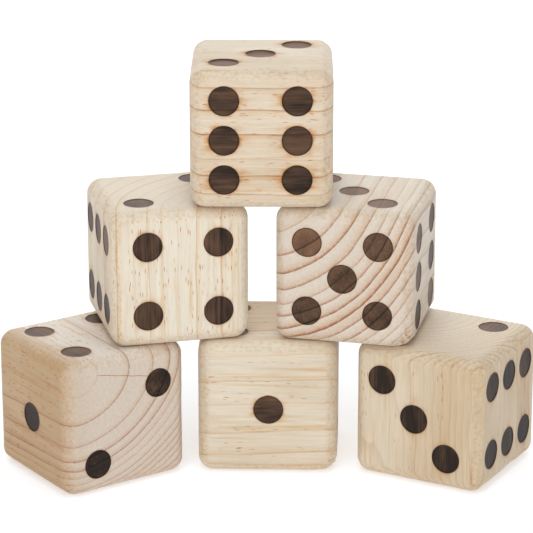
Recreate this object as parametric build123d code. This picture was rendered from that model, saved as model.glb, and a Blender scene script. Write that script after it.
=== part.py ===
"""Giant yard dice: a set of six solid pine dice, stacked three, two and one.

Each die is a block sawn from a square post, with every edge rounded over. Its pips
are burnt in with a hot round stamp, so each pip is a shallow sinking in the face,
lined with charred wood.

The stack stands on the ground at Z = 0. +X is to the right and +Y to the back. The
origin is on the ground, under the middle of the stack's bounding box. All sizes are
in millimetres and all angles in degrees.
"""

from build123d import *
from math import cos, radians, sin
import os

# Block
EDGE = 88.9           # width of the dressed post, 3 1/2 in
ROUND_OVER = 9.5      # radius on all twelve edges, 3/8 in

# Pips
ROW_GAP = 6.2         # wood between neighbouring pips in a row of three
ROW_LAND = 0.3        # flat wood outside a row of three
CORNER_LAND = 2.9     # flat wood beside every other outer pip
SHALLOW = 0.35        # depth that the stamp pressed the wood in
DEEP = 1.0            # the same on the top die, which was pressed hardest
CHAR_FLOOR = 0.8      # thickness of the charred wood under a sinking
CHAR_WALL = 0.3       # thickness of the charred wood around it

# Stack
GROUND_GAP = 10.5     # sideways gap between neighbours in the ground row
MIDDLE_GAP = 17.8     # the same in the middle row
UPPER_SHIFT = -4.9    # middle of the two upper rows, from the centre die

HALF = EDGE / 2
FLAT = HALF - ROUND_OVER                                # half the flat of a face
PIP = (2 * (FLAT - ROW_LAND - ROW_GAP)) / 3             # pip diameter
ROW = PIP + ROW_GAP                                     # pitch in a row of three
CORNER = FLAT - CORNER_LAND - PIP / 2                   # other outer pips, from the middle

# Each face of a die centred on the origin: its outward direction and the direction
# of the first coordinate of its pips. Opposite faces add up to seven.
FACES = {
    "one": ((0, -1, 0), (1, 0, 0)),
    "two": ((1, 0, 0), (0, 1, 0)),
    "three": ((0, 0, -1), (1, 0, 0)),
    "four": ((0, 0, 1), (1, 0, 0)),
    "five": ((-1, 0, 0), (0, -1, 0)),
    "six": ((0, 1, 0), (-1, 0, 0)),
}
DIAGONAL = [(-CORNER, -CORNER), (CORNER, CORNER)]
CORNERS = DIAGONAL + [(-CORNER, CORNER), (CORNER, -CORNER)]
PIPS = {
    "one": [(0, 0)],
    "two": DIAGONAL,
    "three": DIAGONAL + [(0, 0)],
    "four": CORNERS,
    "five": CORNERS + [(0, 0)],
    "six": [(side * CORNER, step * ROW) for side in (-1, 1) for step in (-1, 0, 1)],
}

# The dice by place: the row they stand in, the faces that are up and to the front,
# the turn on the spot, counter-clockwise from above, and how far the centre lies
# behind the centre die's. "sinking" is how deep its pips are. The stamp is held by
# hand, so "stamped" says how far some faces' pips landed from the middle, along the
# two coordinates of the face.
DICE = {
    "bottom_centre": dict(row=0, up="four", front="one", yaw=-2, behind=0,
                          sinking=SHALLOW, stamped={"one": (0.5, -0.5)}),
    "bottom_left": dict(row=0, up="four", front="two", yaw=34.5, behind=-27.5,
                        sinking=SHALLOW, stamped={"one": (0.5, -2), "two": (0, -2), "four": (0, -1.5)}),
    "bottom_right": dict(row=0, up="two", front="three", yaw=-28.5, behind=-23,
                         sinking=SHALLOW,
                         stamped={"two": (-0.5, 0), "three": (-0.5, 1.5), "six": (-1, -1.5)}),
    "middle_left": dict(row=1, up="two", front="four", yaw=14, behind=-5.5,
                        sinking=SHALLOW, stamped={"four": (-0.5, -1), "six": (0, 0.5)}),
    "middle_right": dict(row=1, up="three", front="five", yaw=-13, behind=-7,
                         sinking=SHALLOW, stamped={"three": (0, 2), "five": (0.5, 0), "six": (1.5, 1.5)}),
    "top": dict(row=2, up="three", front="six", yaw=-0.5, behind=-4.5,
                sinking=DEEP, stamped={"three": (-1, 0.5), "six": (0.5, -0.5)}),
}


def blank():
    """The plain block, before it is stamped."""
    return fillet(Box(EDGE, EDGE, EDGE).edges(), ROUND_OVER)


def stamps(die, face, radius, depth):
    """One round stamp per pip of a face, driven in to this depth."""
    outward, across = FACES[face]
    surface = Plane(origin=Vector(*outward) * HALF, x_dir=across, z_dir=outward)
    right, up = die["stamped"].get(face, (0, 0))
    length = 2 * depth
    return [surface * Pos(x + right, y + up) * Cylinder(radius, length) for x, y in PIPS[face]]


def pockets(die, face):
    """The wood that a face's pips take the place of."""
    return stamps(die, face, PIP / 2, die["sinking"] + CHAR_FLOOR)


def block(wood, die):
    """The block, with a round pocket for the charred wood of every pip."""
    for face in FACES:
        wood -= pockets(die, face)
    return wood


def charred_pips(wood, die, face):
    """The charred lining of one face's pips, each a dish in its own pocket."""
    hollows = stamps(die, face, PIP / 2 - CHAR_WALL, die["sinking"])
    pairs = zip(pockets(die, face), hollows)
    return Compound([(wood & pocket - hollow).solid() for pocket, hollow in pairs])


def half_width(name):
    """Half the width of a turned die, seen from the front or from the side."""
    yaw = radians(DICE[name]["yaw"])
    return FLAT * (abs(cos(yaw)) + abs(sin(yaw))) + ROUND_OVER


def beside(first, second, gap):
    """Distance between the centres of two neighbours in a row."""
    return half_width(first) + gap + half_width(second)


def centres():
    """Centre of each die in plan, from the middle of the stack's bounding box."""
    across = {
        "bottom_centre": 0,
        "bottom_left": -beside("bottom_left", "bottom_centre", GROUND_GAP),
        "bottom_right": beside("bottom_centre", "bottom_right", GROUND_GAP),
        "middle_left": UPPER_SHIFT - MIDDLE_GAP / 2 - half_width("middle_left"),
        "middle_right": UPPER_SHIFT + MIDDLE_GAP / 2 + half_width("middle_right"),
        "top": UPPER_SHIFT,
    }
    plan = {name: (across[name], DICE[name]["behind"]) for name in DICE}
    middle = []
    for axis in (0, 1):
        low = min(plan[name][axis] - half_width(name) for name in DICE)
        high = max(plan[name][axis] + half_width(name) for name in DICE)
        middle.append((low + high) / 2)
    return {name: (x - middle[0], y - middle[1]) for name, (x, y) in plan.items()}


def standing(up, front):
    """The turn that stands a die with these faces up and to the front."""
    top = Vector(*FACES[up][0])
    back = -Vector(*FACES[front][0])
    return Plane(origin=(0, 0, 0), x_dir=back.cross(top), z_dir=top).location.inverse()


def main():
    os.makedirs("parts", exist_ok=True)
    wood = blank()
    for name, (x, y) in centres().items():
        die = DICE[name]
        place = Pos(x, y, HALF + die["row"] * EDGE) * Rot(Z=die["yaw"]) * standing(die["up"], die["front"])
        export_step(place * block(wood, die), f"parts/{name}_block.step")
        for face in FACES:
            export_step(place * charred_pips(wood, die, face), f"parts/{name}_pips_{face}.step")
        print(f"{name}: centre at {x:.1f}, {y:.1f}")


main()
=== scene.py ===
"""Giant yard dice: six solid pine dice with burnt-in pips, stacked as a small pyramid."""
import math

import bpy
import numpy as np
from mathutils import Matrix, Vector
from mathutils.geometry import delaunay_2d_cdt

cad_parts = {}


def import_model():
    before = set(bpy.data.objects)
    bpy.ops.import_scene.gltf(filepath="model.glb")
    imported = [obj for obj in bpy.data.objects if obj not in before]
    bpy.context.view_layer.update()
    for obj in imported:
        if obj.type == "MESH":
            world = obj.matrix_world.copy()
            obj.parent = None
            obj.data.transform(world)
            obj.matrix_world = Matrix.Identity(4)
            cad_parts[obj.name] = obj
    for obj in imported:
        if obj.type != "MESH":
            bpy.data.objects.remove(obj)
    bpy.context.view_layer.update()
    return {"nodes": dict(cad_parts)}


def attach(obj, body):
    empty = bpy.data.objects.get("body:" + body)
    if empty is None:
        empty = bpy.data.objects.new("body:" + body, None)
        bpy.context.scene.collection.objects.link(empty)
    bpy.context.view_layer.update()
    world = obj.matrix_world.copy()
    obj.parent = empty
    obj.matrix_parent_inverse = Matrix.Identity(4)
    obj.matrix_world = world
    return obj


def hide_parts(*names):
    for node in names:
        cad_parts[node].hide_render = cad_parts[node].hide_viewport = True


MM = 0.001                  # the dice are made in millimetres and placed in metres
X, Y, Z = 0, 1, 2

# Each face of a die in the die's own axes, as in the CAD: its outward direction, and
# the directions of the two coordinates on it. The wood's fibres run along X, so two
# and five are the end grain.
FACES = {
    "one": ((0, -1, 0), (1, 0, 0), (0, 0, 1)),
    "two": ((1, 0, 0), (0, 1, 0), (0, 0, 1)),
    "three": ((0, 0, -1), (1, 0, 0), (0, -1, 0)),
    "four": ((0, 0, 1), (1, 0, 0), (0, 1, 0)),
    "five": ((-1, 0, 0), (0, -1, 0), (0, 0, 1)),
    "six": ((0, 1, 0), (-1, 0, 0), (0, 0, 1)),
}
# Where a face's pips are, in steps from the middle of the group.
PATTERNS = {
    "one": [(0, 0)],
    "two": [(-1, -1), (1, 1)],
    "three": [(-1, -1), (0, 0), (1, 1)],
    "four": [(-1, -1), (-1, 1), (1, -1), (1, 1)],
    "five": [(-1, -1), (-1, 1), (0, 0), (1, -1), (1, 1)],
    "six": [(-1, -1), (-1, 0), (-1, 1), (1, -1), (1, 0), (1, 1)],
}

# Fineness of the dice, in millimetres
CELL = 0.95        # grid on the flat of a face
ROUND_STEPS = 8      # from the flat to the middle of a rounded edge
RIM_SEGMENTS = 84   # round a pip
RIM_RINGS = (-1.6, -1.1, -0.7, -0.35, 0.3, 0.7, 1.2)   # rings beside the rim of a pip
RIM_CLEAR = 1.9                           # the grid keeps this far off the rim

# Surface of the dice, in millimetres
BURN_SLOPE = 1.1            # width of the slope from a pip's rim down to its floor
SIDE_RELIEF = 0.02          # how far soft early wood lies below late wood after sanding
END_RELIEF = 0.03           # the same on the end grain
BURNT_RELIEF = 0.08         # the same in the burnt pips
WAVES = 0.1                 # unevenness of the sanded flats
WAVE_SWELL = 45             # length of those waves
WEAR = 0.55                 # how much more than the round-over is sanded off the edges
WEAR_SWELL = 38             # length of the worn stretches
WEAR_TURN = 0.28            # how far the surface turns from a face before it is fully worn
MARKS = 0.16                # depth of the sander's marks on the edges
MARK_SWELL = 9              # their length
KNOCK_SWELL = 3.5           # length of the roughness in a knocked corner
PIT_CLEAR = 0.03            # between a pip's underside and its pocket
SHARP = math.radians(55)    # edges sharper than this aren't shaded smooth

# The browned wood beside the pips, in millimetres
SCORCH_REACH = 0.45         # how far it reaches across the fibres
SCORCH_ALONG = 1.5          # how much further along them
SCORCH_SWELL = 6            # length of its ragged stretches

# Colours as they look on a screen. The first seven are what the wood's colour is
# multiplied by, and so is CHAR_LATE for the char.
AMBER = (216, 186, 142)
END_TINT = (240, 232, 226)
STAIN = (240, 210, 158)
EDGE_STAIN = (232, 204, 156)
RESIN = (216, 164, 110)
SCORCH = (232, 182, 104)
SCORCH_RIM = (172, 128, 90)
CHAR = (38, 27, 21)
# The char's pale colour, which also serves as a painted sheen on the pips of the faces turned up.
CHAR_PALE_AND_SHEEN = (133, 97, 73)
CHAR_LATE = (66, 50, 42)
CHAR_RIM = (30, 20, 16)
CHAR_SHEEN = (1, 0.9, 0.82, 1)   # tint of the char's gloss
FIBRE_CONTRAST = 0.55       # how much lighter or darker the streaks are
SOFT_SHARE = 0.75           # how strongly the late wood's soft band shows beside the fine line
SOFT_REACH = 2.6            # how much wider the soft band is than the fine line
BARE_ROUGHNESS = 0.6        # of sanded pine, and a little less where the late wood shines
BARE_GLOSS = 0.3
BARE_SHEEN = 0.1
BURNT_ROUGHNESS = 0.5       # of char
BURNT_GLOSS = 0.22

# The picture
CAMERA_RISE = 18.43         # above the horizon, in degrees
CAMERA_DISTANCE = 21.17     # in widths of a die
CAMERA_SIDE = -0.024        # where it aims beside the centre die's middle, in widths of a die
CAMERA_HEIGHT = 1.407       # where it aims above the floor, in widths of a die
CAMERA_LENS = 198.3         # millimetres
WORLD_LIGHT = 0.34          # light from all round
FLOOR_REACH = 6             # metres
FLOOR_GREY = 0.6            # how much light the floor reflects
FLOOR_GLOW = (0.5, 0.82)    # how much it glows near the dice and far away
GLOW_REACH = (0.3, 1.6)     # where near ends and far begins, in metres
WHITE = (1, 1, 1)
COOL = (0.72, 0.87, 1.0)
# The square soft lights: where they are and how wide in metres, their power and colour
LIGHTS = {
    "key": ((-0.4, -1.8, 1.6), 1.5, 21, WHITE),
    "top": ((0, -0.6, 2.5), 1.2, 21, COOL),
    "fill": ((1.0, -1.9, 1.2), 1.6, 4, WHITE),
    "rear": ((0, 2.1, 1.1), 3.2, 46, WHITE),
}

# The wood of each die, in the die's own axes, in millimetres. The yearly rings are round
# a pith that is outside the block or near one of its edges: "pith" is its (y, z) halfway
# along the block, "lean" how much y and z change per millimetre along it, and "oval" the
# turn and the stretch of rings that aren't round. "rings" are the radii of the late wood and
# how dark each is, "late" the width of the dark band, and "sway" how wavy the rings are.
# "amber" is how strongly the wood darkens to amber in the middle of the block, and how
# much more at its outsides, and "contrast" how strong the late wood looks on the
# sides and on the end grain. "dashes" is how many cut resin canals there are, and
# "scorch" how strongly the pips browned the wood. The colours are of the early wood, the
# soft band and the fine line of the late wood.
WOOD = {
    "top": dict(
        pith=(8, 120), lean=(0, 0.008), oval=(0, 1), late=1.3, sway=0.5,
        rings=[(94, 0.55), (105, 0.85), (115, 0.35), (130, 0.95), (145, 0.85), (159, 0.6)],
        amber=(0.16, (0, 0.1, -0.1)), contrast=(1.0, 0.8), dashes=0.8, scorch=1.25,
        light=(222, 208, 188), tan=(212, 184, 146), dark=(166, 110, 64)),
    "middle_left": dict(
        pith=(-58, 58), lean=(0.01, 0), oval=(0, 1), late=1.1, sway=0.7,
        rings=[(36, 0.9), (51, 0.85), (62, 0.3), (72, 0.5), (81, 0.6), (90, 0.4), (101, 0.9),
               (110, 0.6), (121, 0.7)],
        amber=(0.1, (0, 0.12, -0.1)), contrast=(0.7, 0.7), dashes=1.0, scorch=0.6,
        light=(226, 214, 195), tan=(219, 190, 146), dark=(190, 142, 88)),
    "middle_right": dict(
        pith=(-60.3, -103.6), lean=(0, 0.01), oval=(-0.09, 1.14), late=1.8, sway=0.6,
        rings=[(70, 0.35), (84, 0.6), (94, 0.8), (103, 0.6), (111, 0.4), (118, 0.65),
               (125, 0.8), (131, 1), (137, 0.65), (144, 0.7), (150, 0.4), (156, 0.35),
               (162, 0.35)],
        amber=(0.08, (0, 0, -0.1)), contrast=(0.6, 1.35), dashes=0.3, scorch=0.5,
        light=(221, 211, 197), tan=(208, 172, 140), dark=(158, 104, 74)),
    "bottom_left": dict(
        pith=(-36.2, 34.3), lean=(0, 0.03), oval=(0.22, 0.9), late=1.3, sway=0.5,
        rings=[(14, 0.3), (35, 0.8), (51, 0.6), (62, 0.85), (69, 0.8), (74, 0.4), (79, 0.4),
               (85, 0.55), (89, 0.6), (93, 0.6), (97, 0.65), (101, 0.6)],
        amber=(-1.1, (0, -2.1, 0)), contrast=(0.8, 0.95), dashes=1.2, scorch=0.7,
        light=(219, 206, 191), tan=(204, 168, 138), dark=(156, 104, 74)),
    "bottom_centre": dict(
        pith=(10, 170), lean=(0, 0.037), oval=(0, 1), late=1.6, sway=0.7,
        rings=[(145, 0.4), (161, 0.6), (176, 0.35), (194, 0.6), (208, 0.65)],
        amber=(0.2, (0, 0.1, -0.1)), contrast=(0.75, 0.7), dashes=0.4, scorch=0.8,
        light=(221, 207, 186), tan=(212, 178, 132), dark=(188, 138, 88)),
    "bottom_right": dict(
        pith=(-30, 25), lean=(0.03, 0.04), oval=(0, 1), late=1.1, sway=0.9,
        rings=[(8, 0.2), (16, 0.3), (24, 0.35), (31, 0.4), (37, 0.45), (42, 0.4), (46, 0.45),
               (50, 0.4), (53, 0.5), (56, 0.4), (60, 0.45), (63, 0.4), (66, 0.45), (69, 0.5)],
        amber=(0.22, (0, 0.2, -0.15)), contrast=(0.35, 0.9), dashes=0.35, scorch=0.5,
        light=(223, 210, 189), tan=(216, 188, 148), dark=(150, 110, 76)),
}
RING_REACH = 240            # ring radii go on at the last spacing up to this

# Corners and edges that took a knock: where, in the die's own axes, how far round it and
# how deep, all in millimetres.
DENTS = {
    "middle_right": [((-41, 41, 41), 11, 2.2), ((-42, 35, 43), 6, 1.2), ((-43, 42, 32), 6, 0.9)],
    "bottom_centre": [((41, -42, -42), 13, 1.1)],
    "top": [((43, 43, 20), 7, 0.5), ((-42, 42, -41), 8, 0.6)],
    "bottom_left": [((42, -42, -41), 8, 0.7)],
    "middle_left": [((-41, -42, 42), 7, 0.6)],
    "bottom_right": [((41, 41, -42), 9, 0.7), ((-42, 42, -30), 6, 0.5)],
}

# The hair crack in one die: where it starts, which way it runs and how long it is, in
# that die's own axes and in millimetres.
CHECKED_DIE = "bottom_left"
CHECK = ((44, -23, 35), (0, 37, -8), 42)

# How pale each pip is, from 0 to 1, on the faces that the photograph shows well: partly the pips' own
# uneven char, partly a painted sheen on the faces turned up.
PIP_TONE_AND_SHEEN = {
    "top": {"six": [0.3, 0.5, 0.1, 0.4, 0.35, 0.25], "three": [0.8, 0.9, 0.9]},
    "middle_left": {"four": [0.25, 0.25, 0.3, 0.2], "two": [0.6, 0.5]},
    "middle_right": {"five": [0.65, 0.4, 0.55, 1, 0.6], "three": [1, 1, 1]},
    "bottom_left": {"two": [0, 0.1], "one": [0], "four": [0.6, 0.5, 0.6, 0.7]},
    "bottom_centre": {"one": [0.3]},
    "bottom_right": {"three": [0, 0.05, 0.1], "six": [0.1, 0, 0.1, 0, 0.1, 0], "two": [0.6, 0.7]},
}


def seeded(*words):
    """A random source that is the same in every run, for the thing these words name."""
    return np.random.default_rng(sum(ord(letter) * (7 + i) for i, letter in enumerate("/".join(words))))


def waves(points, reach, source, count=12):
    """Smooth unevenness between about -1 and 1 at each point, with swells about this long."""
    total = np.zeros(len(points))
    for _ in range(count):
        direction = source.normal(size=3)
        direction /= np.linalg.norm(direction)
        length = reach * source.uniform(0.6, 1.8)
        total += np.sin(points @ direction * (2 * math.pi / length) + source.uniform(0, 2 * math.pi))
    return total / math.sqrt(count * 2)


def smooth(low, high, value):
    """0 below low, 1 above high, and an eased step between."""
    t = np.clip((value - low) / (high - low), 0, 1)
    return t * t * (3 - 2 * t)


# ---------------------------------------------------------------- reading the frame

def corners(node):
    """The vertices of a CAD node, in metres."""
    flat = np.empty(len(node.data.vertices) * 3)
    node.data.vertices.foreach_get("co", flat)
    return flat.reshape(-1, 3)


def outward_of(node, middle):
    """The direction that a face's pips look in."""
    largest = max(node.data.polygons, key=lambda polygon: polygon.area)
    normal = np.array(largest.normal)
    return normal * np.sign(normal @ (np.array(largest.center) - middle))


class Die:
    """A die as the frame has it: its place, its own axes and its pips."""

    def __init__(self, name, nodes):
        self.name = name
        self.body = f"{name}_die"
        self.block = nodes[f"{name}_block"]
        self.pips = {face: nodes[f"{name}_pips_{face}"] for face in FACES}
        metres = corners(self.block)
        self.middle = (metres.min(axis=0) + metres.max(axis=0)) / 2
        self.axes = np.array([outward_of(self.pips[face], self.middle) for face in ("two", "six", "four")])
        own = self.own(metres)
        self.half = own.max()
        on_face = own[own[:, X] > self.half - 0.001]
        self.flat = on_face[:, Y].max()
        self.round_over = self.half - self.flat
        one = self.on_face("one", self.own(corners(self.pips["one"])))
        self.radius = np.ptp(one[:, X]) / 2
        levels = np.unique(one[:, Z].round(2))
        self.bottom, self.floor = levels[0], levels[1]

    def own(self, metres):
        """Points of the frame in the die's own axes, in millimetres."""
        return (metres - self.middle) @ self.axes.T / MM

    def placed(self, own):
        """The other way round."""
        return own @ self.axes * MM + self.middle

    def on_face(self, face, own):
        """Points as two coordinates on a face and the height along its outward direction."""
        outward, right, up = (np.array(direction) for direction in FACES[face])
        return np.stack([own @ right, own @ up, own @ outward], axis=1)

    def off_face(self, face, flat):
        """The other way round."""
        outward, right, up = (np.array(direction) for direction in FACES[face])
        return flat[:, :1] * right + flat[:, 1:2] * up + flat[:, 2:] * outward

    def centres(self, face):
        """The middles of a face's pips, on the face."""
        flat = self.on_face(face, self.own(corners(self.pips[face])))[:, :2]
        low, high = flat.min(axis=0), flat.max(axis=0)
        step = (high - low) / 2 - self.radius
        return [(low + high) / 2 + step * place for place in PATTERNS[face]]


# ---------------------------------------------------------------- meshes of the dice

def ticks(die):
    """The grid along one coordinate of a face, from the middle of one rounded edge to the next."""
    turn = np.linspace(0, math.pi / 4, ROUND_STEPS + 1)[1:]
    edge = die.flat + die.round_over * np.tan(turn)
    middle = np.linspace(-die.flat, die.flat, round(2 * die.flat / CELL) + 1)
    return np.concatenate([-edge[::-1], middle, edge])


def unfolded(die, flat):
    """Where points over a face, seen square on, are on the square that wraps round its edges."""
    beyond = np.clip(np.abs(flat) - die.flat, 0, None) / die.round_over
    facing = np.sqrt(np.clip(1 - (beyond**2).sum(axis=1, keepdims=True), 0.05, None))
    stretched = die.flat + die.round_over * beyond / facing
    return np.where(beyond > 0, np.sign(flat) * stretched, flat)


def wrapped(die, square):
    """Points on a face's square, wrapped on to the rounded block, and the surface's direction there."""
    full = np.column_stack([square, np.full(len(square), die.half)])
    core = np.clip(full, -die.flat, die.flat)
    normal = full - core
    normal /= np.linalg.norm(normal, axis=1, keepdims=True)
    return core + die.round_over * normal, normal


def face_grid(die, centres):
    """Points and triangles of a face's square, with rings of points beside each pip's rim."""
    line = ticks(die)
    across, along = np.meshgrid(line, line, indexing="ij")
    points = np.column_stack([across.ravel(), along.ravel()])
    flat = wrapped(die, points)[0][:, :2]
    for centre in centres:
        away = np.abs(np.linalg.norm(flat - centre, axis=1) - die.radius)
        clear = (away > RIM_CLEAR) | (np.abs(points).max(axis=1) > line[-2])
        points, flat = points[clear], flat[clear]
    groups = [points]
    edges = []
    turn = np.arange(RIM_SEGMENTS) * 2 * math.pi / RIM_SEGMENTS
    circle = np.column_stack([np.cos(turn), np.sin(turn)])
    for centre in centres:
        first = sum(len(group) for group in groups)
        edges += [(first + i, first + (i + 1) % RIM_SEGMENTS) for i in range(RIM_SEGMENTS)]
        for offset in (0,) + RIM_RINGS:
            groups.append(unfolded(die, centre + circle * (die.radius + offset)))
    points = np.concatenate(groups)
    made = delaunay_2d_cdt([tuple(point) for point in points.tolist()], edges, [], 0, 1e-6)
    return np.array([tuple(point) for point in made[0]]), np.array(made[2])


class Skin:
    """The surface of a die before its pips are sunk: points, triangles, and what is known of them."""

    def __init__(self, die):
        squares = []
        offset = 0
        for face in FACES:
            centres = die.centres(face)
            square, triangles = face_grid(die, centres)
            points, normals = wrapped(die, square)
            away = np.stack([np.linalg.norm(points[:, :2] - centre, axis=1) for centre in centres])
            pip = away.argmin(axis=0)
            rim = away.min(axis=0) - die.radius
            spread = points[:, :2] - np.array(centres)[pip]
            squares.append(dict(
                points=die.off_face(face, points), normals=die.off_face(face, normals),
                triangles=triangles + offset, face=np.full(len(points), list(FACES).index(face)),
                pip=pip, rim=rim, spread=die.off_face(face, np.column_stack([spread, 0 * rim]))))
            offset += len(points)
        joined = {key: np.concatenate([square[key] for square in squares]) for key in squares[0]}
        rows = joined["points"].round(3) + 0.0
        _, first, where = np.unique(rows, axis=0, return_index=True, return_inverse=True)
        where = where.ravel()
        self.points, self.normals = joined["points"][first], joined["normals"][first]
        self.rim = np.full(len(first), np.inf)
        np.minimum.at(self.rim, where, joined["rim"])
        self.spread, self.pip, self.face = (joined[key][first] for key in ("spread", "pip", "face"))
        self.triangles = where[joined["triangles"]]
        inner = (joined["rim"] < 1e-4)[joined["triangles"]].all(axis=1)
        self.wood = self.triangles[~inner]
        of_triangle = joined["triangles"][:, 0]
        self.burnt = {}
        for number, face in enumerate(FACES):
            mine = inner & (joined["face"][of_triangle] == number)
            self.burnt[face] = self.triangles[mine]


# ---------------------------------------------------------------- wood

def ring_table(look):
    """Radii of the yearly rings and how dark each is, from the pith out to the far corner."""
    rings = list(look["rings"])
    inner = rings[1][0] - rings[0][0]
    outer = rings[-1][0] - rings[-2][0]
    shades = seeded("shades", str(rings[0][0]))
    while rings[0][0] > inner:
        rings.insert(0, (rings[0][0] - inner, shades.uniform(0.3, 0.8)))
    while rings[-1][0] < RING_REACH:
        rings.append((rings[-1][0] + outer * shades.uniform(0.85, 1.15), shades.uniform(0.35, 0.75)))
    return np.array([(0, rings[0][1])] + rings)


def rings_at(name, own):
    """Ring number, darkness of its late wood and ring width, at points in a die's own axes."""
    look = WOOD[name]
    (turn, stretch), (lean_y, lean_z) = look["oval"], look["lean"]
    y = own[:, Y] - look["pith"][0] - lean_y * own[:, X]
    z = own[:, Z] - look["pith"][1] - lean_z * own[:, X]
    first = y * math.cos(turn) + z * math.sin(turn)
    second = z * math.cos(turn) - y * math.sin(turn)
    radius = np.hypot(first * stretch, second / stretch)
    source = seeded("sway", name)
    radius += look["sway"] * waves(own * (1, 1.6, 1.6), 60, source)
    radius += 0.3 * look["sway"] * waves(own * (0.6, 1.6, 1.6), 14, source)
    table = ring_table(look)
    widths = np.diff(table[:, 0])
    middles = (table[1:, 0] + table[:-1, 0]) / 2
    number = np.interp(radius, table[:, 0], np.arange(len(table)))
    shade = np.interp(radius, table[:, 0], table[:, 1])
    return np.column_stack([number, shade, np.interp(radius, middles, widths)])


def lateness(name, rings):
    """How far into the late wood of its ring each point is, from 0 to 1."""
    part = rings[:, 0] % 1
    band = np.clip(WOOD[name]["late"] / rings[:, 2], 0.1, 0.6)
    return smooth(1 - 1.6 * band, 1 - 0.5 * band, part) * (1 - smooth(1 - 0.3 * band, 1, part))


def worn(die, skin, rings):
    """The sanded surface: hard late wood stands proud, the flats are uneven and the edges worn."""
    name = die.name
    end = np.abs(skin.normals[:, X])
    relief = SIDE_RELIEF + (END_RELIEF - SIDE_RELIEF) * end
    relief = np.where(skin.rim < 0, BURNT_RELIEF, relief) * rings[:, 1]
    source = seeded("surface", name)
    low = relief * (1 - lateness(name, rings))
    low += WAVES * (0.5 + 0.5 * np.clip(waves(skin.points, WAVE_SWELL, source), -0.9, 1))
    turned = 1 - np.abs(skin.normals).max(axis=1)
    edge = smooth(0, WEAR_TURN, turned)
    low += WEAR * edge * np.clip(waves(skin.points, WEAR_SWELL, source), 0, None)
    low += MARKS * edge * (0.5 + 0.5 * waves(skin.points, MARK_SWELL, source))
    low += knocks(name, skin.points) * (1 + 0.5 * waves(skin.points, KNOCK_SWELL, source))
    return skin.points - skin.normals * low[:, None]


def knocks(name, points):
    """How deep each point lies in a knocked corner or edge."""
    low = np.zeros(len(points))
    for place, reach, depth in DENTS.get(name, []):
        away = np.linalg.norm(points - np.array(place), axis=1) / reach
        low += depth * np.clip(1 - away**2, 0, 1) ** 1.5
    return low


def scorch(die, skin):
    """How strongly the wood beside the pips is browned. Heat runs further along the fibres."""
    spread = skin.spread / np.linalg.norm(skin.spread, axis=1, keepdims=True)
    along = np.abs(spread[:, X])
    ragged = 1 + 0.45 * waves(skin.points, SCORCH_SWELL, seeded("scorch", die.name))
    reach = (SCORCH_REACH + SCORCH_ALONG * along**2) * np.clip(ragged, 0.3, None)
    return np.exp(-np.clip(skin.rim, 0, None) / reach)


# ---------------------------------------------------------------- pieces

def rim_loops(triangles):
    """The open borders of a patch of triangles: point numbers in order round each pip's rim."""
    pairs = np.concatenate([triangles[:, [0, 1]], triangles[:, [1, 2]], triangles[:, [2, 0]]])
    keys = {tuple(pair) for pair in pairs.tolist()}
    following = {a: b for a, b in keys if (b, a) not in keys}
    loops = []
    while following:
        start, after = following.popitem()
        loop = [start]
        while after != start:
            loop.append(after)
            after = following.pop(after)
        loops.append(loop)
    return loops


def lowered(die, face, rim, clear):
    """The rim of a pip, moved down to the bottom of its pocket and drawn in a little."""
    flat = die.on_face(face, rim)
    middle = flat[:, :2].mean(axis=0)
    flat[:, :2] = middle + (flat[:, :2] - middle) * (1 - clear / die.radius)
    flat[:, 2] = die.bottom + clear
    return die.off_face(face, flat)


def piece(die, name, skin, own, triangles, facts, clear, material):
    """A closed object from a patch of a die's skin, with a wall and a floor below each pip's rim."""
    extra = []
    copied = []
    closing = []
    for loop in rim_loops(triangles):
        face = list(FACES)[skin.face[loop[0]]]
        first = len(own) + len(copied)
        extra.append(lowered(die, face, own[loop], clear))
        copied += loop
        ring = list(range(first, first + len(loop)))
        for i, point in enumerate(loop):
            after = (i + 1) % len(loop)
            closing.append((loop[after], point, ring[i], ring[after]))
        closing.append(tuple(ring[::-1]))
    points = np.concatenate([own] + extra)
    polygons = triangles.tolist() + closing
    used = sorted({number for polygon in polygons for number in polygon})
    place = dict(zip(used, range(len(used))))
    polygons = [[place[number] for number in polygon] for polygon in polygons]
    mesh = bpy.data.meshes.new(name)
    mesh.from_pydata(die.placed(points[used]).tolist(), [], polygons)
    for title, values in facts.items():
        values = np.concatenate([values, values[copied]])[used]
        attribute = mesh.attributes.new(title, "FLOAT_VECTOR", "POINT")
        attribute.data.foreach_set("vector", values.astype(np.float32).ravel())
    mesh.materials.append(material)
    mesh.shade_smooth()
    mesh.set_sharp_from_angle(angle=SHARP)
    shown = bpy.data.objects.new(name, mesh)
    bpy.context.scene.collection.objects.link(shown)
    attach(shown, die.body)
    return shown


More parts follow.
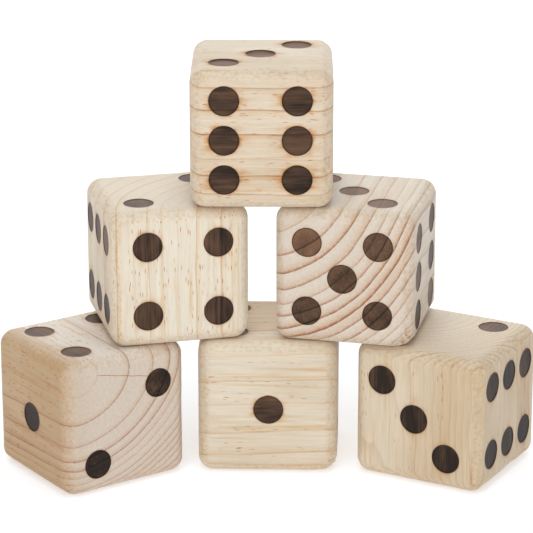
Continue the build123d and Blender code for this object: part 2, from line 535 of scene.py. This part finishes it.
def make_die(die):
    """The block of a die and the burnt lining of each face's pips."""
    skin = Skin(die)
    rings = rings_at(die.name, skin.points)
    surface = worn(die, skin, rings)
    end = np.abs(skin.normals[:, X])
    facts = {"grain": skin.points, "rings": rings}
    edge = smooth(0, 0.12, 1 - np.abs(skin.normals).max(axis=1)) + knocks(die.name, skin.points)
    burn = np.column_stack([scorch(die, skin), end, edge])
    block = piece(
        die, f"{die.name}_wood", skin, surface, skin.wood, {**facts, "burn": burn}, 0, pine(die.name))
    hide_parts(die.block.name)

    sink = die.half - die.floor
    inside = -skin.rim
    outward = np.array([FACES[face][0] for face in FACES])[skin.face]
    sunk = surface - outward * (sink * smooth(0, BURN_SLOPE, inside))[:, None]
    # Each pip's paleness: random, or as listed. The much paler listed values on the faces turned up are a
    # painted sheen.
    tones = seeded("tones", die.name).uniform(0, 1, size=(len(FACES), 6))
    tone_and_sheen = tones[skin.face, skin.pip]
    for face, light in PIP_TONE_AND_SHEEN.get(die.name, {}).items():
        mine = skin.face == list(FACES).index(face)
        tone_and_sheen = np.where(mine, np.array(light)[np.where(mine, skin.pip, 0)], tone_and_sheen)
    burn = np.column_stack([inside, end, tone_and_sheen])
    for face, triangles in skin.burnt.items():
        name = f"{die.name}_burnt_{face}"
        burnt = piece(
            die, name, skin, sunk, triangles, {**facts, "burn": burn}, PIT_CLEAR, burnt_pine(die.name))
        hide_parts(die.pips[face].name)


# ---------------------------------------------------------------- materials

def linear(colour):
    """A colour given as it looks on a screen, from 0 to 255, as the light that it reflects."""
    return tuple(((c / 255 + 0.055) / 1.055) ** 2.4 if c > 10 else c / 255 / 12.92 for c in colour) + (1,)


class Nodes:
    """A material's shader nodes, made one after the other."""

    def __init__(self, name):
        self.material = bpy.data.materials.new(name)
        self.material.use_nodes = True
        self.tree = self.material.node_tree
        self.shader = self.tree.nodes["Principled BSDF"]

    def put(self, socket, value):
        """Links a socket to another node's output, or sets it."""
        if isinstance(value, bpy.types.NodeSocket):
            self.tree.links.new(value, socket)
        else:
            socket.default_value = value

    def make(self, kind, inputs, output=0, **settings):
        """A node with these settings and inputs. Gives one of its outputs."""
        node = self.tree.nodes.new("ShaderNode" + kind)
        for key, value in settings.items():
            setattr(node, key, value)
        for key, value in inputs.items():
            self.put(node.inputs[key], value)
        return node.outputs[output]

    def known(self, title):
        """What the mesh says of each point under this title, and its three numbers."""
        vector = self.make("Attribute", {}, output="Vector", attribute_name=title)
        split = self.make("SeparateXYZ", {"Vector": vector}).node
        return vector, split.outputs["X"], split.outputs["Y"], split.outputs["Z"]

    def sum(self, operation, *values):
        """A Math node's result."""
        return self.make("Math", dict(enumerate(values)), operation=operation)

    def scaled(self, vector, scale, shift=(0, 0, 0)):
        """The vector times the scale, plus the shift."""
        inputs = {"Vector": vector, "Scale": scale, "Location": shift}
        return self.make("Mapping", inputs, vector_type="POINT")

    def noise(self, vector, scale, detail=2.0, shift=(0, 0, 0)):
        """Noise whose swells are scale[axis] per millimetre. Between 0 and 1."""
        moved = self.scaled(vector, scale, shift)
        return self.make("TexNoise", {"Vector": moved, "Scale": 1.0, "Detail": detail, "Roughness": 0.6})

    def step(self, value, low, high, start=0.0, end=1.0):
        """start below low, end above high, eased between."""
        inputs = {"Value": value, "From Min": low, "From Max": high, "To Min": start, "To Max": end}
        return self.make("MapRange", inputs, interpolation_type="SMOOTHSTEP")

    def mix(self, factor, first, second, blend="MIX"):
        """The first colour, with the second blended in by the factor."""
        inputs = {"Factor": factor, 6: first, 7: second}
        return self.make("Mix", inputs, output=2, data_type="RGBA", blend_type=blend)


def late_wood(nodes, late):
    """How dark each point is, from the mesh's ring numbers: first in the fine line at the
    outside of its ring, and then in the soft band that leads up to it."""
    number, shade, width = nodes.known("rings")[1:]
    part = nodes.sum("FRACT", number)
    fall = nodes.step(part, 0.965, 1.0, 1.0, 0.0)
    wide = nodes.sum("DIVIDE", nodes.sum("MULTIPLY_ADD", shade, 0.8, 0.4), width)
    bands = []
    for reach, ease in ((late, 2.0), (late * SOFT_REACH, 1.0)):
        band = nodes.sum("MINIMUM", nodes.sum("MULTIPLY", reach, wide), 0.9)
        rise = nodes.step(part, nodes.sum("SUBTRACT", 1.0, nodes.sum("MULTIPLY", band, 1.5)), 0.98)
        rise = nodes.sum("POWER", rise, ease)
        bands.append(nodes.sum("MULTIPLY", rise, nodes.sum("MULTIPLY", fall, shade)))
    return bands


def fibres(nodes, grain):
    """Fine streaks along the fibres, which are only specks on the end grain. Around 0."""
    streaks = nodes.noise(grain, (0.022, 0.5, 0.5), 4.0)
    fine = nodes.noise(grain, (0.08, 1.7, 1.7), 3.0)
    both = nodes.sum("ADD", nodes.sum("MULTIPLY", streaks, 0.5), nodes.sum("MULTIPLY", fine, 0.5))
    return nodes.sum("SUBTRACT", both, 0.5)


def resin_dashes(nodes, grain, end, amount):
    """Short thin brown lines along the fibres, where resin canals were cut open."""
    places = nodes.scaled(grain, (0.12, 0.85, 0.85))
    inputs = {"Vector": places, "Scale": 1.0, "Randomness": 1.0}
    cell = nodes.make("TexVoronoi", inputs, output="Distance").node
    narrow = nodes.step(cell.outputs["Distance"], 0.12, 0.3, 1.0, 0.0)
    chosen = nodes.make("SeparateColor", {"Color": cell.outputs["Color"]})
    shown = nodes.step(chosen, 0.35, 0.5)
    rows = nodes.noise(grain, (0.006, 0.09, 0.09), 1.0, shift=(3, 1, 7))
    where = nodes.step(rows, 0.58 - 0.2 * amount, 0.7 - 0.2 * amount)
    sides = nodes.step(end, 0.3, 0.75, 1.0, 0.0)
    return nodes.sum("MULTIPLY", nodes.sum("MULTIPLY", narrow, shown), nodes.sum("MULTIPLY", where, sides))


def towards_amber(nodes, grain, look):
    """How far the wood has turned amber: more on one side of the block, and in soft patches."""
    level, slope = look["amber"]
    lean = nodes.make("VectorMath", {0: grain, 1: tuple(s / 44 for s in slope)}, output="Value",
                      operation="DOT_PRODUCT")
    patches = nodes.noise(grain, (0.012, 0.03, 0.03), 2.0)
    patches = nodes.sum("MULTIPLY", nodes.sum("SUBTRACT", patches, 0.5), 0.9)
    total = nodes.sum("ADD", nodes.sum("ADD", lean, level), patches)
    return nodes.make("Clamp", {"Value": total})


def stained(nodes, grain, end, edge, wood):
    """The wood with orange streaks of resin along the fibres, and yellowed edges."""
    streaks = nodes.noise(grain, (0.012, 0.26, 0.26), 2.0, shift=(2, 5, 8))
    sides = nodes.sum("MULTIPLY_ADD", end, -0.6, 0.6)
    streaks = nodes.sum("MULTIPLY", nodes.step(streaks, 0.54, 0.74), sides)
    wood = nodes.mix(streaks, wood, linear(STAIN), blend="MULTIPLY")
    specks = nodes.noise(grain, (0.35, 0.35, 0.35), 3.0, shift=(1, 1, 4))
    yellowed = nodes.sum("MULTIPLY", nodes.step(specks, 0.4, 0.7), nodes.sum("MULTIPLY", edge, 0.45))
    return nodes.mix(yellowed, wood, linear(EDGE_STAIN), blend="MULTIPLY")


def scorched_wood(nodes, grain, scorched, wood, amount):
    """The wood with a brown rim at each pip and patchy orange beside it."""
    patches = nodes.noise(grain, (0.1, 0.22, 0.22), 2.0, shift=(6, 3, 2))
    patches = nodes.step(patches, 0.38, 0.66, 0.15 * amount, amount)
    wide = nodes.sum("POWER", scorched, 0.7)
    wood = nodes.mix(nodes.sum("MULTIPLY", wide, patches), wood, linear(SCORCH), blend="MULTIPLY")
    rim = nodes.sum("POWER", scorched, 4.0)
    return nodes.mix(nodes.sum("MULTIPLY", rim, 0.8), wood, linear(SCORCH_RIM), blend="MULTIPLY")


def drying_check(nodes, grain, wood):
    """A hair crack in the end grain, from the pith outwards."""
    start, along, length = CHECK
    moved = nodes.make("VectorMath", {0: grain, 1: start}, output="Vector", operation="SUBTRACT")
    direction = Vector(along).normalized()
    across = direction.cross(Vector((1, 0, 0)))
    far = nodes.make("VectorMath", {0: moved, 1: direction}, output="Value", operation="DOT_PRODUCT")
    off = nodes.make("VectorMath", {0: moved, 1: across}, output="Value", operation="DOT_PRODUCT")
    bend = nodes.noise(grain, (0, 0.09, 0.09), 2.0)
    off = nodes.sum("MULTIPLY_ADD", nodes.sum("SUBTRACT", bend, 0.5), 1.6, off)
    off = nodes.sum("ABSOLUTE", off)
    line = nodes.step(off, 0.1, 0.35, 1.0, 0.0)
    begun = nodes.step(far, 0.0, 3.0)
    within = nodes.sum("MULTIPLY", begun, nodes.step(far, length - 6.0, length, 1.0, 0.0))
    depth = nodes.step(nodes.make("SeparateXYZ", {"Vector": grain}), 38.0, 42.0)
    shown = nodes.sum("MULTIPLY", nodes.sum("MULTIPLY", line, within), depth)
    return nodes.mix(shown, wood, linear(RESIN), blend="MULTIPLY")


def pine(name):
    """Sanded bare pine."""
    look = WOOD[name]
    nodes = Nodes(f"pine_{name}")
    grain = nodes.known("grain")[0]
    scorched, end, edge = nodes.known("burn")[1:]
    line, band = late_wood(nodes, look["late"])
    streaks = fibres(nodes, grain)
    broken = nodes.noise(grain, (0.05, 0.5, 0.5), 2.0, shift=(9, 2, 5))
    side, cut = look["contrast"]
    strength = nodes.sum("MULTIPLY", nodes.step(broken, 0.25, 0.6, 0.55, 1.0),
                         nodes.sum("MULTIPLY_ADD", end, cut - side, side))
    soft = nodes.sum("MULTIPLY", band, nodes.sum("MULTIPLY", strength, SOFT_SHARE))
    wood = nodes.mix(soft, linear(look["light"]), linear(look["tan"]))
    wood = nodes.mix(nodes.sum("MULTIPLY", line, strength), wood, linear(look["dark"]))
    amber = towards_amber(nodes, grain, look)
    amber = nodes.sum("MULTIPLY", amber, nodes.sum("MULTIPLY_ADD", end, -0.6, 0.9))
    wood = nodes.mix(amber, wood, linear(AMBER), blend="MULTIPLY")
    wood = stained(nodes, grain, end, edge, wood)
    shade = nodes.sum("MULTIPLY_ADD", streaks, FIBRE_CONTRAST, 1.0)
    grey = nodes.make("CombineColor", {0: shade, 1: shade, 2: shade})
    wood = nodes.mix(1.0, wood, grey, blend="MULTIPLY")
    wood = nodes.mix(nodes.sum("MULTIPLY", end, 0.5), wood, linear(END_TINT), blend="MULTIPLY")
    dashes = resin_dashes(nodes, grain, end, look["dashes"])
    wood = nodes.mix(dashes, wood, linear(RESIN), blend="MULTIPLY")
    wood = scorched_wood(nodes, grain, scorched, wood, look["scorch"])
    if name == CHECKED_DIE:
        wood = drying_check(nodes, grain, wood)
    nodes.put(nodes.shader.inputs["Base Color"], wood)
    nodes.put(nodes.shader.inputs["Roughness"], nodes.sum("MULTIPLY_ADD", line, -0.12, BARE_ROUGHNESS))
    nodes.shader.inputs["Specular IOR Level"].default_value = BARE_GLOSS
    nodes.shader.inputs["Sheen Weight"].default_value = BARE_SHEEN
    height = nodes.sum("MULTIPLY_ADD", streaks, 0.6, nodes.sum("MULTIPLY", line, 0.2))
    bump = nodes.make("Bump", {"Height": height, "Strength": 0.4, "Distance": 0.0002})
    nodes.put(nodes.shader.inputs["Normal"], bump)
    return nodes.material


def burnt_pine(name):
    """Pine charred by a hot stamp. The rings still show, and the char has a slight sheen."""
    title = f"burnt_pine_{name}"
    if title in bpy.data.materials:
        return bpy.data.materials[title]
    look = WOOD[name]
    nodes = Nodes(title)
    grain = nodes.known("grain")[0]
    inside, end, tone_and_sheen = nodes.known("burn")[1:]
    line, band = late_wood(nodes, look["late"])
    streaks = fibres(nodes, grain)
    patches = nodes.noise(grain, (0.03, 0.09, 0.09), 2.0, shift=(4, 8, 1))
    # The pale mix is partly the pips' own uneven char and partly a painted sheen on the pips of the faces
    # turned up.
    pale = nodes.sum("ADD", nodes.sum("MULTIPLY", tone_and_sheen, 0.7), nodes.sum("SUBTRACT", patches, 0.5))
    pale = nodes.sum("ADD", pale, nodes.sum("MULTIPLY", streaks, 1.2))
    pale = nodes.make("Clamp", {"Value": pale})
    char = nodes.mix(pale, linear(CHAR), linear(CHAR_PALE_AND_SHEEN))
    late = nodes.sum("MULTIPLY_ADD", band, 0.25, line)
    grown = nodes.sum("MULTIPLY", late, nodes.sum("MULTIPLY_ADD", end, 0.5, 0.5))
    grown = nodes.sum("MINIMUM", grown, 1.0)
    char = nodes.mix(grown, char, linear(CHAR_LATE), blend="MULTIPLY")
    edge = nodes.step(inside, 0.25, 0.8, 0.85, 0.0)
    char = nodes.mix(edge, char, linear(CHAR_RIM))
    nodes.put(nodes.shader.inputs["Base Color"], char)
    nodes.put(nodes.shader.inputs["Roughness"], nodes.sum("MULTIPLY_ADD", streaks, 0.3, BURNT_ROUGHNESS))
    nodes.shader.inputs["Specular IOR Level"].default_value = BURNT_GLOSS
    nodes.shader.inputs["Specular Tint"].default_value = CHAR_SHEEN
    height = nodes.sum("MULTIPLY_ADD", streaks, 0.8, nodes.sum("MULTIPLY", late, 0.4))
    bump = nodes.make("Bump", {"Height": height, "Strength": 0.5, "Distance": 0.0003})
    nodes.put(nodes.shader.inputs["Normal"], bump)
    return nodes.material


# ---------------------------------------------------------------- the picture

def set_camera(centre):
    """The photograph's view: straight on to the stack's front, from a little above."""
    edge = 2 * centre.half * MM
    aim = Vector((centre.middle[X] + CAMERA_SIDE * edge, centre.middle[Y], CAMERA_HEIGHT * edge))
    rise = math.radians(CAMERA_RISE)
    data = bpy.data.cameras.new("camera")
    data.lens = CAMERA_LENS
    camera = bpy.data.objects.new("camera", data)
    bpy.context.scene.collection.objects.link(camera)
    camera.location = aim + Vector((0, -math.cos(rise), math.sin(rise))) * CAMERA_DISTANCE * edge
    camera.rotation_euler = (math.pi / 2 - rise, 0, 0)
    data.clip_end = 100
    bpy.context.scene.camera = camera


def soft_light(name, aim):
    """One of the square soft lights, pointed at a place."""
    place, size, power, colour = LIGHTS[name]
    data = bpy.data.lights.new(name, "AREA")
    data.color = colour
    data.size = size
    data.energy = power
    light = bpy.data.objects.new(name, data)
    bpy.context.scene.collection.objects.link(light)
    light.location = place
    light.rotation_euler = (Vector(aim) - Vector(place)).to_track_quat("-Z", "Y").to_euler()


def set_floor():
    """A wide white floor under the dice. It glows more further out, up to the white background."""
    mesh = bpy.data.meshes.new("floor")
    signs = [(-1, -1), (1, -1), (1, 1), (-1, 1)]
    mesh.from_pydata([(x * FLOOR_REACH, y * FLOOR_REACH, 0) for x, y in signs], [], [(0, 1, 2, 3)])
    nodes = Nodes("floor")
    nodes.shader.inputs["Base Color"].default_value = (FLOOR_GREY, FLOOR_GREY, FLOOR_GREY, 1)
    nodes.shader.inputs["Emission Color"].default_value = (1, 1, 1, 1)
    place = nodes.make("NewGeometry", {}, output="Position")
    far = nodes.make("VectorMath", {0: place}, output="Value", operation="LENGTH")
    glow = nodes.step(far, *GLOW_REACH, *FLOOR_GLOW)
    nodes.put(nodes.shader.inputs["Emission Strength"], glow)
    nodes.shader.inputs["Roughness"].default_value = 0.9
    nodes.shader.inputs["Specular IOR Level"].default_value = 0
    mesh.materials.append(nodes.material)
    floor = bpy.data.objects.new("floor", mesh)
    bpy.context.scene.collection.objects.link(floor)


def set_world():
    """Even white light from all round, and a white background."""
    world = bpy.data.worlds.new("world")
    bpy.context.scene.world = world
    world.use_nodes = True
    tree = world.node_tree
    background = tree.nodes["Background"]
    background.inputs["Color"].default_value = (1, 1, 1, 1)
    seen = tree.nodes.new("ShaderNodeLightPath")
    strength = tree.nodes.new("ShaderNodeMix")
    strength.inputs["A"].default_value = WORLD_LIGHT
    strength.inputs["B"].default_value = 1.0
    tree.links.new(seen.outputs["Is Camera Ray"], strength.inputs["Factor"])
    tree.links.new(strength.outputs["Result"], background.inputs["Strength"])


def main():
    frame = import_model()
    bpy.context.scene.view_settings.view_transform = "Standard"
    dice = {name: Die(name, frame["nodes"]) for name in WOOD}
    set_camera(dice["bottom_centre"])
    set_world()
    set_floor()
    middle = dice["bottom_centre"].middle
    for name in LIGHTS:
        soft_light(name, middle)
    for die in dice.values():
        make_die(die)


main()
